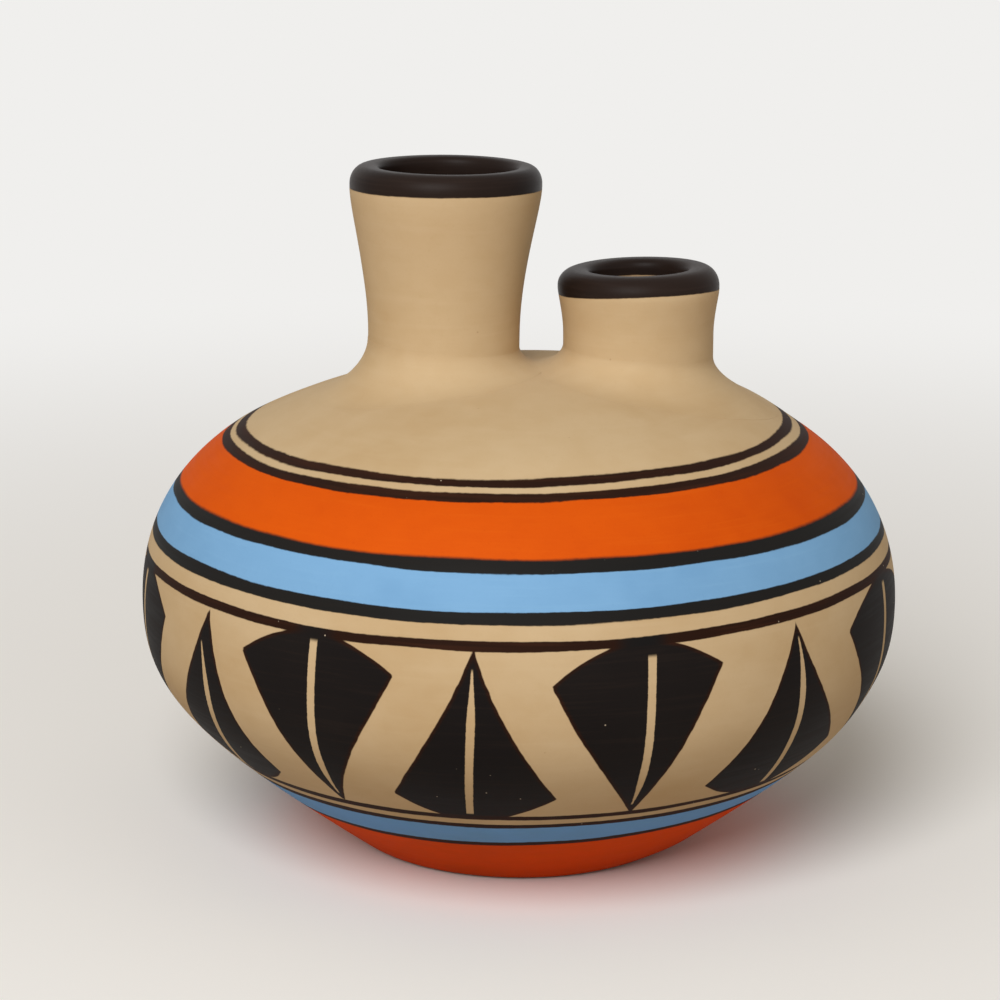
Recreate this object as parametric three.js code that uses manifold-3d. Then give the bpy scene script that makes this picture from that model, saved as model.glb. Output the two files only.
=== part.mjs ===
// Double spout vase in painted earthenware: a low round body that closes over into a dome,
// with one tall and one short neck luted side by side onto the crown.
// Each clay piece that a potter forms by itself is one closed solid. Millimetres, +Z up,
// origin in the middle of the foot, tall neck towards -X, short neck towards +X.
import * as THREE from 'three';
import { mergeVertices } from 'three/addons/utils/BufferGeometryUtils.js';
import loadManifold from 'manifold-3d';

// Body outline
const FOOT_RADIUS = 39; // flat ground the vase stands on
const FOOT_ANGLE = 37; // degrees above the ground at which the wall leaves the foot
const BELLY_RADIUS = 90; // widest place
const BELLY_HEIGHT = 59.2; // height of the widest place
const CROWN_HEIGHT = 113.6; // top of the dome
const FLANK_FULLNESS = 0.87; // how far the belly curve is drawn out towards its corner, 0 to 1
const SHOULDER_FULLNESS = 0.893; // the same for the shoulder, measured upwards
const DOME_FULLNESS = 0.677; // the same for the dome, measured outwards

// The crown is closed by hand and leans: it stands a little higher towards the short neck
const CROWN_LEAN = 0.018; // rise for each millimetre towards +X
const CROWN_LIFT = 0.48; // rise on the axis
const LEAN_RADIUS = 55; // the dome leans in full inside this radius
const LEAN_FADE = 15; // and is round again this much farther out

// Clay thickness
const WALL = 6; // body
const FLOOR = 7; // bottom of the pan
const NECK_WALL = 5; // both necks

// Seams between the body pieces
const PAN_DEPTH = 24; // rim of the dished base pan above the ground
const SHOULDER_SEAM_RISE = 13.5; // rim of the coiled wall above the widest place

// The pair of necks
const PAIR_CENTRE = 5.025; // X of the middle of the saddle between the necks
const SADDLE_GAP = 9.75; // clear width between the necks at their roots
const TALL = {
  name: 'tall',
  rootRadius: 17.85, // outer radius where the neck stands on the dome
  rimRadius: 22.35, // outer radius under the lip
  rise: 47.8, // top of the lip above the crown
  lipHeight: 4.9, // black lip above the flat rim of the neck
  lipOverhang: 1.1, // how far the lip rolls in past the bore
  coilOuter: 13.5, // reach of the root coil over the dome, away from the saddle
  coilInner: 5.8, // and towards the saddle
  coilHeight: 10.6, // its reach up the neck, away from the saddle
};
const SHORT = {
  name: 'short',
  rootRadius: 17.7,
  rimRadius: 18.92,
  rise: 24.1,
  lipHeight: 4.7,
  lipOverhang: 2.1,
  coilOuter: 15.5,
  coilInner: 6,
  coilHeight: 7.2,
};
const UPRIGHT = 8.5; // how far above the crown a neck stays upright
const FLARE_START = 0.4; // share of the rest of a neck over which the flare begins
const LIP_ROUNDING = 4.2; // height of the round top of a lip

const COIL_EDGE = 0.5; // thickness left at the smoothed-out edges of a root coil

const SLIP_GAP = 0.3; // layer of slip between a luted piece and what it is luted to

// Facets round each ring and along each curve
const BODY_SEGMENTS = 64;
const NECK_SEGMENTS = 40;
const PAN_STEPS = 5;
const BELLY_STEPS = 6;
const SHOULDER_STEPS = 3;
const DOME_STEPS = 11;
const FLARE_STEPS = 6;
const COIL_STEPS = 5;
const LIP_STEPS = 10;
const HALVINGS = 40; // of a stretch of curve, to find a height on it
const WELD = 1e-4; // corners closer than this are one

const CLAY = 0xc4a67e;
const RED_ORANGE = 0xd2561b;
const BLACK = 0x1f1b18;
const MATT = 0.75; // roughness of clay and matt slip
const SATIN = 0.5; // roughness of the polished black lips

// Outline curves: x is the radius and y the height
const footEdge = new THREE.Vector2(FOOT_RADIUS, 0);
const widest = new THREE.Vector2(BELLY_RADIUS, BELLY_HEIGHT);
const crown = new THREE.Vector2(0, CROWN_HEIGHT);
const flankRise = (BELLY_RADIUS - FOOT_RADIUS) * Math.tan(THREE.MathUtils.degToRad(FOOT_ANGLE));
const bellyCorner = new THREE.Vector2(BELLY_RADIUS, flankRise);
const domeCorner = new THREE.Vector2(BELLY_RADIUS, CROWN_HEIGHT);
const bellyCurve = new THREE.CubicBezierCurve(
  footEdge,
  footEdge.clone().lerp(bellyCorner, FLANK_FULLNESS),
  widest.clone().lerp(bellyCorner, FLANK_FULLNESS),
  widest,
);
const domeCurve = new THREE.CubicBezierCurve(
  widest,
  widest.clone().lerp(domeCorner, SHOULDER_FULLNESS),
  crown.clone().lerp(domeCorner, 1 - DOME_FULLNESS),
  crown,
);

// Point of an outline curve, moved square to it into the clay by a depth
function pointInside(curve, t, depth) {
  const tangent = curve.getTangent(t);
  return curve.getPoint(t).add(new THREE.Vector2(-tangent.y, tangent.x).multiplyScalar(depth));
}

// Place along a rising curve where its line at that depth reaches a height
function placeAtHeight(curve, depth, height) {
  let low = 0;
  let high = 1;
  for (let step = 0; step < HALVINGS; step += 1) {
    const middle = (low + high) / 2;
    if (pointInside(curve, middle, depth).y < height) low = middle;
    else high = middle;
  }
  return (low + high) / 2;
}

// Points of a curve at a depth, between two places on it, both ends included
function stretch(curve, depth, from, to, steps) {
  const points = [];
  for (let step = 0; step <= steps; step += 1) {
    points.push(pointInside(curve, from + ((to - from) * step) / steps, depth));
  }
  return points;
}

// Solid of revolution about Z, from an outline of radius and height that runs anticlockwise
function revolve(outline, segments) {
  return new THREE.LatheGeometry(outline, segments).rotateX(Math.PI / 2);
}

// Closed ring about Z whose cross-section changes with the angle, with the same number of points
// all the way round, listed anticlockwise in radius and height
function loftRing(sectionAt, segments) {
  const sections = [];
  for (let turn = 0; turn < segments; turn += 1) sections.push(sectionAt((turn / segments) * 2 * Math.PI));
  const count = sections[0].length;
  const positions = [];
  const faces = [];
  sections.forEach((section, turn) => {
    const angle = (turn / segments) * 2 * Math.PI;
    section.forEach((point, index) => {
      positions.push(point.x * Math.cos(angle), point.x * Math.sin(angle), point.y);
      const next = (turn + 1) % segments;
      const here = turn * count + index;
      const above = turn * count + ((index + 1) % count);
      const beside = next * count + index;
      const opposite = next * count + ((index + 1) % count);
      faces.push(here, beside, opposite, here, opposite, above);
    });
  });
  const geometry = new THREE.BufferGeometry();
  geometry.setAttribute('position', new THREE.Float32BufferAttribute(positions, 3));
  geometry.setIndex(faces);
  geometry.computeVertexNormals();
  return geometry;
}

const wasm = await loadManifold();
wasm.setup();

function toManifold(geometry) {
  const bare = geometry.clone();
  bare.deleteAttribute('normal');
  bare.deleteAttribute('uv');
  const merged = mergeVertices(bare, WELD);
  return new wasm.Manifold(new wasm.Mesh({
    numProp: 3,
    vertProperties: new Float32Array(merged.attributes.position.array),
    triVerts: new Uint32Array(merged.index.array),
  }));
}

function toGeometry(manifold) {
  const mesh = manifold.getMesh();
  const geometry = new THREE.BufferGeometry();
  geometry.setAttribute('position', new THREE.BufferAttribute(mesh.vertProperties, 3));
  geometry.setIndex(new THREE.BufferAttribute(mesh.triVerts, 1));
  geometry.computeVertexNormals();
  return geometry;
}

const vase = new THREE.Group();

function place(name, geometry, color, roughness, parent = vase) {
  const mesh = new THREE.Mesh(geometry, new THREE.MeshStandardMaterial({ color, roughness, metalness: 0 }));
  mesh.name = name;
  parent.add(mesh);
}

// Base pan: the dish that the pot is started in, with a flat foot and a flat rim
const shoulderSeam = BELLY_HEIGHT + SHOULDER_SEAM_RISE;
const panOutside = stretch(bellyCurve, 0, 0, placeAtHeight(bellyCurve, 0, PAN_DEPTH), PAN_STEPS);
const panInside = stretch(
  bellyCurve,
  WALL,
  placeAtHeight(bellyCurve, WALL, FLOOR),
  placeAtHeight(bellyCurve, WALL, PAN_DEPTH),
  PAN_STEPS,
);
place('base_pan', revolve([
  new THREE.Vector2(0, 0),
  ...panOutside,
  ...panInside.reverse(),
  new THREE.Vector2(0, FLOOR),
], BODY_SEGMENTS), RED_ORANGE, MATT);

// Coiled wall: built up from the rim of the pan, past the widest place, to the shoulder seam
function wallSide(depth) {
  const belly = stretch(bellyCurve, depth, placeAtHeight(bellyCurve, depth, PAN_DEPTH), 1, BELLY_STEPS);
  const seam = placeAtHeight(domeCurve, depth, shoulderSeam);
  const shoulder = stretch(domeCurve, depth, 0, seam, SHOULDER_STEPS);
  return [...belly, ...shoulder.slice(1)];
}
const wallOutline = [...wallSide(0), ...wallSide(WALL).reverse()];
place('coiled_wall', revolve([...wallOutline, wallOutline[0]], BODY_SEGMENTS), CLAY, MATT);

// Dome: the shoulder closed over to the crown, with a round hole under each neck
function domeSide(depth) {
  const side = stretch(domeCurve, depth, placeAtHeight(domeCurve, depth, shoulderSeam), 1, DOME_STEPS);
  side[DOME_STEPS].set(0, CROWN_HEIGHT - depth); // exactly on the axis, so that the crown closes
  return side;
}
const domeOutside = domeSide(0);

// How far the leaning crown stands above or below a round dome
function crownLean(x, y) {
  const fade = THREE.MathUtils.smoothstep(LEAN_RADIUS + LEAN_FADE - Math.hypot(x, y), 0, LEAN_FADE);
  return (CROWN_LIFT + CROWN_LEAN * x) * fade;
}

const neckPlaces = new Map([
  [TALL, PAIR_CENTRE - SADDLE_GAP / 2 - TALL.rootRadius],
  [SHORT, PAIR_CENTRE + SADDLE_GAP / 2 + SHORT.rootRadius],
]);
const domeShell = revolve([...domeSide(WALL).reverse(), ...domeOutside], BODY_SEGMENTS);
const domePoints = domeShell.attributes.position;
for (let index = 0; index < domePoints.count; index += 1) {
  const lean = crownLean(domePoints.getX(index), domePoints.getY(index));
  domePoints.setZ(index, domePoints.getZ(index) + lean);
}
let dome = toManifold(domeShell);
for (const [neck, axis] of neckPlaces) {
  const holeRadius = neck.rootRadius - NECK_WALL;
  const hole = new THREE.CylinderGeometry(holeRadius, holeRadius, CROWN_HEIGHT, NECK_SEGMENTS)
    .rotateX(Math.PI / 2)
    .translate(axis, 0, CROWN_HEIGHT);
  dome = dome.subtract(toManifold(hole));
}
place('shoulder_dome', toGeometry(dome), CLAY, MATT);

// Height of the dome above a place
function domeHeight(x, y) {
  const radius = Math.hypot(x, y);
  const upper = domeOutside.findIndex((point) => point.x <= radius);
  const [outer, inner] = [domeOutside[upper - 1], domeOutside[upper]].map((point) => {
    const share = point.x / radius;
    return { radius: point.x, height: point.y + crownLean(x * share, y * share) };
  });
  const rise = (outer.radius - radius) / (outer.radius - inner.radius);
  return THREE.MathUtils.lerp(outer.height, inner.height, rise);
}

for (const [neck, axis] of neckPlaces) {
  const group = new THREE.Group();
  group.position.x = axis;
  vase.add(group);

  // Seat on the dome, a layer of slip above it, at a radius and angle about the neck's own axis
  const seat = (radius, angle) =>
    domeHeight(axis + radius * Math.cos(angle), radius * Math.sin(angle)) + SLIP_GAP;

  // Reach and height of the root coil, which is smoothed out farther away from the saddle
  const saddleSide = Math.sign(PAIR_CENTRE - axis);
  const coilWidth = (angle) =>
    THREE.MathUtils.lerp(neck.coilOuter, neck.coilInner, (1 + saddleSide * Math.cos(angle)) / 2);
  const coilHeight = (angle) => (neck.coilHeight * coilWidth(angle)) / neck.coilOuter;

  // Neck: a thrown tube, upright at the root and flaring to the lip. Its foot is trimmed to the dome
  // and pared back all round, as a bed for the root coil.
  const boreRadius = neck.rootRadius - NECK_WALL;
  const coilInside = neck.rootRadius - COIL_EDGE;
  const bedRadius = coilInside - SLIP_GAP;
  const bedTop = (angle) => seat(neck.rootRadius, angle) + coilHeight(angle) + SLIP_GAP;
  const lipTop = CROWN_HEIGHT + neck.rise;
  const lipSeam = lipTop - neck.lipHeight;
  const uprightTop = CROWN_HEIGHT + UPRIGHT;
  const flare = new THREE.QuadraticBezierCurve(
    new THREE.Vector2(neck.rootRadius, uprightTop),
    new THREE.Vector2(neck.rootRadius, THREE.MathUtils.lerp(uprightTop, lipSeam, FLARE_START)),
    new THREE.Vector2(neck.rimRadius, lipSeam),
  ).getPoints(FLARE_STEPS);
  const bore = flare.map((point) => new THREE.Vector2(point.x - NECK_WALL, point.y));
  place(`${neck.name}_neck`, loftRing((angle) => [
    new THREE.Vector2(bedRadius, seat(bedRadius, angle)),
    new THREE.Vector2(bedRadius, bedTop(angle)),
    new THREE.Vector2(neck.rootRadius, bedTop(angle)),
    ...flare,
    ...bore.toReversed(),
    new THREE.Vector2(boreRadius, seat(boreRadius, angle)),
  ], NECK_SEGMENTS), CLAY, MATT, group);

  // Root coil: a roll of clay pressed into the corner of neck and dome and smoothed to a hollow
  // fillet. Towards the other neck it ends at the middle of the saddle, against the other coil.
  const saddleReach = Math.abs(PAIR_CENTRE - axis) - SLIP_GAP / 2;
  place(`${neck.name}_root_coil`, loftRing((angle) => {
    const width = coilWidth(angle);
    const fullReach = neck.rootRadius + width;
    const towardsSaddle = saddleSide * Math.cos(angle);
    const reach = towardsSaddle * fullReach > saddleReach ? saddleReach / towardsSaddle : fullReach;
    const firstTurn = Math.asin(1 - (reach - neck.rootRadius) / width);
    const hollow = [];
    for (let step = 0; step <= COIL_STEPS; step += 1) {
      const turn = THREE.MathUtils.lerp(firstTurn, Math.PI / 2, step / COIL_STEPS);
      const radius = neck.rootRadius + width * (1 - Math.sin(turn));
      const swell = COIL_EDGE + (coilHeight(angle) - COIL_EDGE) * (1 - Math.cos(turn));
      hollow.push(new THREE.Vector2(radius, seat(radius, angle) + swell));
    }
    return [
      new THREE.Vector2(coilInside, seat(coilInside, angle)),
      ...hollow.toReversed().map((point) => new THREE.Vector2(point.x, seat(point.x, angle))),
      ...hollow,
      new THREE.Vector2(coilInside, seat(coilInside, angle) + coilHeight(angle)),
    ];
  }, NECK_SEGMENTS), CLAY, MATT, group);

  // Lip: a coil set on the flat rim of the neck, flush outside, rounded on top and rolled inwards
  const lipInside = neck.rimRadius - NECK_WALL - neck.lipOverhang;
  const rounding = new THREE.EllipseCurve(
    (neck.rimRadius + lipInside) / 2,
    lipTop - LIP_ROUNDING,
    (neck.rimRadius - lipInside) / 2,
    LIP_ROUNDING,
    0,
    Math.PI,
  ).getPoints(LIP_STEPS);
  const lipFoot = new THREE.Vector2(neck.rimRadius, lipSeam);
  const lipHeel = new THREE.Vector2(neck.rimRadius - NECK_WALL, lipSeam);
  const lipOutline = [lipFoot, ...rounding, lipHeel, lipFoot];
  place(`${neck.name}_lip`, revolve(lipOutline, NECK_SEGMENTS), BLACK, SATIN, group);
}

export default vase;
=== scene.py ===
import math

import bmesh
import bpy
import mathutils
import numpy as np
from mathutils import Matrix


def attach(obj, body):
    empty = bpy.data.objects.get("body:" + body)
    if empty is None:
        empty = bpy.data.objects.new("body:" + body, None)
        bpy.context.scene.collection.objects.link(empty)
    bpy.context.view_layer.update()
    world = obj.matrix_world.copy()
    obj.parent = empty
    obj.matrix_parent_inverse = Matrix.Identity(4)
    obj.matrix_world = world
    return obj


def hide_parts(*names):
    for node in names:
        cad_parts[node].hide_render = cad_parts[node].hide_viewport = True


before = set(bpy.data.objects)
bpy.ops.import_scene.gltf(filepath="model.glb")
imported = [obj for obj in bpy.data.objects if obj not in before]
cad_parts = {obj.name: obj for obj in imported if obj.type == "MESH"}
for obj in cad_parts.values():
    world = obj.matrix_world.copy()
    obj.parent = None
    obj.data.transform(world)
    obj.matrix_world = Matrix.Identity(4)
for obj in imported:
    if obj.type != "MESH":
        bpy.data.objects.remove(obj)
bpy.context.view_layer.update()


# Base pan
# The shallow dish of buff earthenware that the pot is started in, pressed by hand over a form.
# It stands on a flat foot with a worn edge, and is brushed with red-orange slip up to a dark line,
# then with a ring of blue up to its rim.
MM = 0.001
FOOT_RADIUS = 39.0
FOOT_ANGLE = math.radians(37)
FOOT_WEAR = 1.8  # how far the edge of the foot is rounded off
FOOT_STEPS = 7  # points round that edge
FLAT_RINGS = [0.0, 14.0, 28.0]  # radii of the rings under the foot and on the pan's floor
BELLY_RADIUS = 90.0
BELLY_HEIGHT = 59.2
CROWN_HEIGHT = 113.6
FLANK_FULLNESS = 0.87
SHOULDER_FULLNESS = 0.893
DOME_FULLNESS = 0.677
CURVE_POINTS = 900
CLAY_WALL = 6.0
PAN_FLOOR = 7.0
PAN_RIM = 24.0
PAN_STEPS = 36  # rings up the outside
INSIDE_STEPS = 12  # and up the inside
PAN_TURNS = 360
END_STEP = 0.12  # the last facet before a seam is this short, so the shading runs on past the seam


def bezier(corners, count):
    """Points along the curve that these corners draw, both ends included."""
    share = np.linspace(0, 1, count)[:, None]
    level = [np.array(corner, float) * np.ones((count, 1)) for corner in corners]
    while len(level) > 1:
        level = [a + (b - a) * share for a, b in zip(level, level[1:])]
    return level[0]


def towards(start, end, share):
    """The place that lies this share of the way from start to end."""
    return np.array(start) + (np.array(end) - np.array(start)) * share


foot_edge = (FOOT_RADIUS, 0.0)
widest = (BELLY_RADIUS, BELLY_HEIGHT)
crown = (0.0, CROWN_HEIGHT)
belly_corner = (BELLY_RADIUS, (BELLY_RADIUS - FOOT_RADIUS) * math.tan(FOOT_ANGLE))
dome_corner = (BELLY_RADIUS, CROWN_HEIGHT)
flank = bezier([
    foot_edge,
    towards(foot_edge, belly_corner, FLANK_FULLNESS),
    towards(widest, belly_corner, FLANK_FULLNESS),
    widest,
], CURVE_POINTS)
dome = bezier([
    widest,
    towards(widest, dome_corner, SHOULDER_FULLNESS),
    towards(crown, dome_corner, 1 - DOME_FULLNESS),
    crown,
], CURVE_POINTS)
body_outline = np.vstack([flank, dome[1:]])
body_slope = np.gradient(body_outline, axis=0)
body_slope /= np.linalg.norm(body_slope, axis=1)[:, None]


def lengths(line):
    """How far along a drawn line each of its points lies."""
    return np.r_[0, np.cumsum(np.linalg.norm(np.diff(line, axis=0), axis=1))]


def body_side(low, high, depth, steps):
    """Radius and height along the body's side, at a depth in the clay, between two heights."""
    line = body_outline + depth * np.column_stack([-body_slope[:, 1], body_slope[:, 0]])
    length = lengths(line)
    first, last = np.interp([low, high], line[:, 1], length)
    places = np.r_[first, np.linspace(first + END_STEP, last - END_STEP, steps), last]
    radius = np.interp(places, length, line[:, 0])
    height = np.interp(places, length, line[:, 1])
    return np.column_stack([radius, height])


class Wire:
    """A socket in a node tree. Sums on it add Math nodes, and node() adds any other node."""

    def __init__(self, tree, socket=None):
        self.tree = tree
        self.socket = socket

    def node(self, kind, settings=None, values=None, output=None):
        made = self.tree.nodes.new(kind)
        for name, value in (settings or {}).items():
            setattr(made, name, value)
        for name, value in (values or {}).items():
            if isinstance(name, int):
                target = made.inputs[name]
            else:
                target = next(s for s in made.inputs if s.name == name and s.enabled)
            if isinstance(value, Wire):
                self.tree.links.new(value.socket, target)
            else:
                target.default_value = value
        shown = [s for s in made.outputs if s.enabled and output in (None, s.name)]
        return Wire(self.tree, shown[0] if shown else None)

    def math(self, operation, *terms):
        return self.node("ShaderNodeMath", {"operation": operation}, dict(enumerate(terms)))

    def __add__(self, other):
        return self.math("ADD", self, other)

    def __radd__(self, other):
        return self.math("ADD", other, self)

    def __sub__(self, other):
        return self.math("SUBTRACT", self, other)

    def __rsub__(self, other):
        return self.math("SUBTRACT", other, self)

    def __mul__(self, other):
        return self.math("MULTIPLY", self, other)

    def __rmul__(self, other):
        return self.math("MULTIPLY", other, self)

    def __truediv__(self, other):
        return self.math("DIVIDE", self, other)

    def __rtruediv__(self, other):
        return self.math("DIVIDE", other, self)

    def __abs__(self):
        return self.math("ABSOLUTE", self)

    def rise(self, low, high):
        """0 below low, 1 above high, and smooth between them."""
        span = {"Value": self, "From Min": low, "From Max": high}
        return self.node("ShaderNodeMapRange", {"interpolation_type": "SMOOTHSTEP"}, span)


WELD = 0.001  # points closer than this become one


def wheel():
    """Node tree that turns an outline of radius (X) and height (Z) once round an upright axis."""
    tree = bpy.data.node_groups.new("turned_on_wheel", "GeometryNodeTree")
    inputs = {"Outline": "Geometry", "Turns": "Int", "Axis": "Float", "Glaze": "Material"}
    labels = {}
    for label, kind in inputs.items():
        socket = tree.interface.new_socket(label, in_out="INPUT", socket_type="NodeSocket" + kind)
        labels[label] = socket.identifier
    tree.interface.new_socket("Clay", in_out="OUTPUT", socket_type="NodeSocketGeometry")
    given = tree.nodes.new("NodeGroupInput")
    outline, turns, axis, glaze = (Wire(tree, socket) for socket in given.outputs[:len(inputs)])
    start = Wire(tree)
    rows = start.node("GeometryNodeAttributeDomainSize", {}, {"Geometry": outline}, "Point Count")
    grid = tree.nodes.new("GeometryNodeMeshGrid")
    tree.links.new((turns + 1).socket, grid.inputs["Vertices X"])
    tree.links.new(rows.socket, grid.inputs["Vertices Y"])
    index = start.node("GeometryNodeInputIndex")
    row = start.math("MODULO", index, rows)
    angle = (index - row) / rows / turns * (2 * math.pi)
    place = start.node("GeometryNodeInputPosition")
    drawn = start.node(
        "GeometryNodeSampleIndex",
        {"data_type": "FLOAT_VECTOR"},
        {"Geometry": outline, "Value": place, "Index": row},
    )
    radius = start.node("ShaderNodeSeparateXYZ", {}, {"Vector": drawn}, "X")
    height = start.node("ShaderNodeSeparateXYZ", {}, {"Vector": drawn}, "Z")
    turned = start.node("ShaderNodeCombineXYZ", {}, {
        "X": axis + radius * start.math("SINE", angle),
        "Y": 0 - radius * start.math("COSINE", angle),
        "Z": height,
    })
    clay = start.node("GeometryNodeStoreNamedAttribute", {"data_type": "FLOAT2", "domain": "CORNER"}, {
        "Geometry": Wire(tree, grid.outputs["Mesh"]),
        "Name": "OFBake",
        "Value": Wire(tree, grid.outputs["UV Map"]),
    })
    clay = start.node("GeometryNodeSetPosition", {}, {"Geometry": clay, "Position": turned})
    clay = start.node("GeometryNodeMergeByDistance", {}, {"Geometry": clay, "Distance": WELD * MM})
    clay = start.node("GeometryNodeSetShadeSmooth", {}, {"Geometry": clay})
    clay = start.node("GeometryNodeRealizeInstances", {}, {"Geometry": clay})
    clay = start.node("GeometryNodeSetMaterial", {}, {"Geometry": clay, "Material": glaze})
    start.node("NodeGroupOutput", {}, {"Clay": clay})
    return tree, labels


wheel_tree, wheel_labels = wheel()
SHARP = math.radians(30)


def finish_mesh(mesh):
    """Turns a closed shell's faces outwards, smooth except where the clay has an edge."""
    shell = bmesh.new()
    shell.from_mesh(mesh)
    bmesh.ops.recalc_face_normals(shell, faces=shell.faces[:])
    shell.to_mesh(mesh)
    shell.free()
    mesh.shade_smooth()
    mesh.set_sharp_from_angle(angle=SHARP)


def settle(piece, modifier):
    """Makes what a modifier shows the piece's own mesh, and takes the modifier off."""
    shown = piece.evaluated_get(bpy.context.evaluated_depsgraph_get())
    settled = bpy.data.meshes.new_from_object(shown)
    piece.modifiers.remove(modifier)
    before = piece.data
    piece.data = settled
    bpy.data.meshes.remove(before)
    settled.name = piece.name


def turn(name, outline, turns, glaze, axis=0.0):
    """A piece of clay turned on the wheel from its closed outline in millimetres."""
    drawing = bpy.data.meshes.new(name)
    drawing.from_pydata([(radius * MM, 0.0, height * MM) for radius, height in outline], [], [])
    piece = bpy.data.objects.new(name, drawing)
    bpy.context.scene.collection.objects.link(piece)
    modifier = piece.modifiers.new("wheel", "NODES")
    modifier.node_group = wheel_tree
    modifier[wheel_labels["Turns"]] = turns
    modifier[wheel_labels["Axis"]] = axis * MM
    modifier[wheel_labels["Glaze"]] = glaze
    settle(piece, modifier)
    piece.data.materials.pop(index=0)  # the empty slot that a new grid brings
    finish_mesh(piece.data)
    return piece


def points_of(mesh):
    """The mesh's points in millimetres."""
    flat = np.empty(3 * len(mesh.vertices))
    mesh.vertices.foreach_get("co", flat)
    return flat.reshape(-1, 3) / MM


def move_points(mesh, points):
    """Sets the mesh's points, given in millimetres."""
    mesh.vertices.foreach_set("co", (points * MM).ravel())
    mesh.update()


def round_angle(points, axis=0.0):
    """The direction from an upright axis, in radians from the front towards the right."""
    return np.arctan2(points[:, 0] - axis, -points[:, 1])


def push_out(points, angle, push):
    """Moves points away from their axis."""
    points[:, 0] += push * np.sin(angle)
    points[:, 1] -= push * np.cos(angle)


# Waves round a wall: how far each pushes, how often it comes round, where it starts, and the height in
# which it turns by a radian
HAND_WAVES = [(0.1, 2, 0.7, 40.0), (0.08, 3, -1.1, -23.0), (0.04, 5, 0.0, 9.0)]


def hand_built(piece, axis, still, full):
    """Pushes a wall in and out by a hair, as hands leave it. Nothing moves at the height still."""
    points = points_of(piece.data)
    angle = round_angle(points, axis)
    height = points[:, 2]
    push = sum(
        far * np.sin(times * angle + start + height / turning)
        for far, times, start, turning in HAND_WAVES
    )
    push_out(points, angle, push * np.clip((height - still) / (full - still), 0, 1))
    move_points(piece.data, points)


BODY_STILL = 108.0  # the dome under the necks keeps its shape
BODY_FULL = 98.0
FULLER = 1.05  # how far the lower right of the body stands out
FULLER_AT = 72.0  # degrees round from the front
FULLER_SPREAD = 70.0
FULLER_FROM = 5.0  # in full from this height
FULLER_UNTIL = 30.0  # up to this one
FULLER_FADE = 14.0


def smooth(share):
    """0 to 1 with an easy start and end."""
    share = np.clip(share, 0, 1)
    return share * share * (3 - 2 * share)


def fuller_flank(piece):
    """Presses the lower right of the body out, where the form that it was started on was fuller."""
    points = points_of(piece.data)
    angle = round_angle(points)
    height = points[:, 2]
    push = FULLER * smooth(1 - np.abs(np.degrees(angle) - FULLER_AT) / FULLER_SPREAD)
    push *= smooth(height / FULLER_FROM) * (1 - smooth((height - FULLER_UNTIL) / FULLER_FADE))
    push_out(points, angle, push * np.interp(height, body_outline[:, 1], body_slope[:, 1]))
    points[:, 2] -= push * np.interp(height, body_outline[:, 1], body_slope[:, 0])
    move_points(piece.data, points)


def spread_out(mesh, strips, painted):
    """Lays the piece out flat: its painted outside in strips, one above another, then the rest."""
    outside_part = 0.88
    margin = 0.004
    nudge = 1e-3  # a face that starts on a strip's edge belongs to that strip
    layer = mesh.uv_layers["OFBake"].data
    flat = np.empty(2 * len(layer))
    layer.foreach_get("uv", flat)
    flat = flat.reshape(-1, 2)
    starts = np.array([face.loop_start for face in mesh.polygons])
    counts = np.array([face.loop_total for face in mesh.polygons])
    first = np.repeat(np.minimum.reduceat(flat[:, 0], starts), counts)
    middle = np.repeat(np.add.reduceat(flat[:, 1], starts) / counts, counts)
    strip = np.floor(first * strips + nudge)
    outside = middle < painted
    tall = outside_part / strips
    across = np.where(outside, flat[:, 0] * strips - strip, flat[:, 0])
    inner = outside_part + (flat[:, 1] - painted) / (1 - painted) * (1 - outside_part)
    up = np.where(outside, (strip + flat[:, 1] / painted * (1 - 2 * margin) + margin) * tall, inner)
    flat = np.column_stack([margin + across * (1 - 2 * margin), margin + up * (1 - 2 * margin)])
    layer.foreach_set("uv", flat.ravel())


def srgb(red, green, blue):
    """A colour as it looks on a screen, 0 to 255, as linear values."""
    shares = (red / 255, green / 255, blue / 255)
    return tuple(s / 12.92 if s < 0.04045 else ((s + 0.055) / 1.055) ** 2.4 for s in shares) + (1.0,)


def new_glaze(name):
    """A new material, and the object coordinates that its pattern is laid out on."""
    material = bpy.data.materials.new(name)
    material.use_nodes = True
    material.node_tree.nodes.clear()
    spot = Wire(material.node_tree).node("ShaderNodeTexCoord", {}, {}, "Object")
    return material, spot


def measured(spot, axis):
    """How far along X, Y or Z a spot lies, in millimetres."""
    return spot.node("ShaderNodeSeparateXYZ", {}, {"Vector": spot}, axis) / MM


def grain(spot, size, detail=2.0, shift=0.0):
    """Noise round 0.5, with lumps so many millimetres across along X, Y and Z."""
    placed = spot.node("ShaderNodeMapping", {}, {
        "Vector": spot,
        "Location": (shift, shift, shift),
        "Scale": tuple(1 / (MM * side) for side in size),
    })
    values = {"Vector": placed, "Scale": 1.0, "Detail": detail}
    return spot.node("ShaderNodeTexNoise", {}, values, "Fac")


def swing(noise, size):
    """Noise as a swing of this size to both sides of 0."""
    return (noise - 0.5) * size


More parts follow.
